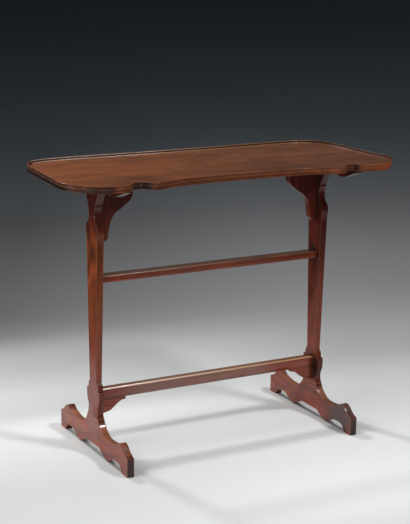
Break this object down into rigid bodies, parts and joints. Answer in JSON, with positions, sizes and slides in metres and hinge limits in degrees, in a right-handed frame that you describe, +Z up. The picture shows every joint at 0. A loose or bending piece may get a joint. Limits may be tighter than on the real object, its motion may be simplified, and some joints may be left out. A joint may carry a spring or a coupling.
{
  "type": "occasional table",
  "caption": "Mahogany occasional table with a shaped, lipped top on trestle ends joined by rails",
  "frame": {"origin": "on the floor, midway between the two trestle ends and on their common centre plane", "axes": "+X along the top to the right end, +Y to the back, +Z up"},
  "size_m": [0.9144, 0.4121, 0.712],
  "materials": {
    "mahogany_top": "polished",
    "mahogany_frame": "polished",
    "pin_wood": "satin",
    "screw_steel": "satin"
  },
  "bodies": {
    "root": {"tabletop_board": "mahogany_top", "lip_back": "mahogany_top", "lip_left_end": "mahogany_top", "lip_right_end": "mahogany_top", "lip_front_left": "mahogany_top", "lip_front_centre": "mahogany_top", "lip_front_right": "mahogany_top", "bearer_left": "mahogany_frame", "bearer_right": "mahogany_frame", "post_left": "mahogany_frame", "post_right": "mahogany_frame", "foot_left": "mahogany_frame", "foot_right": "mahogany_frame", "console_left": "mahogany_frame", "console_right": "mahogany_frame", "haunch_left": "mahogany_frame", "haunch_right": "mahogany_frame", "mid_rail": "mahogany_frame", "low_rail": "mahogany_frame", "foot_pegs": "pin_wood", "bearer_pegs": "pin_wood", "console_dowels": "pin_wood", "haunch_dowels": "pin_wood", "bearer_screws": "screw_steel"}
  },
  "joints": []
}
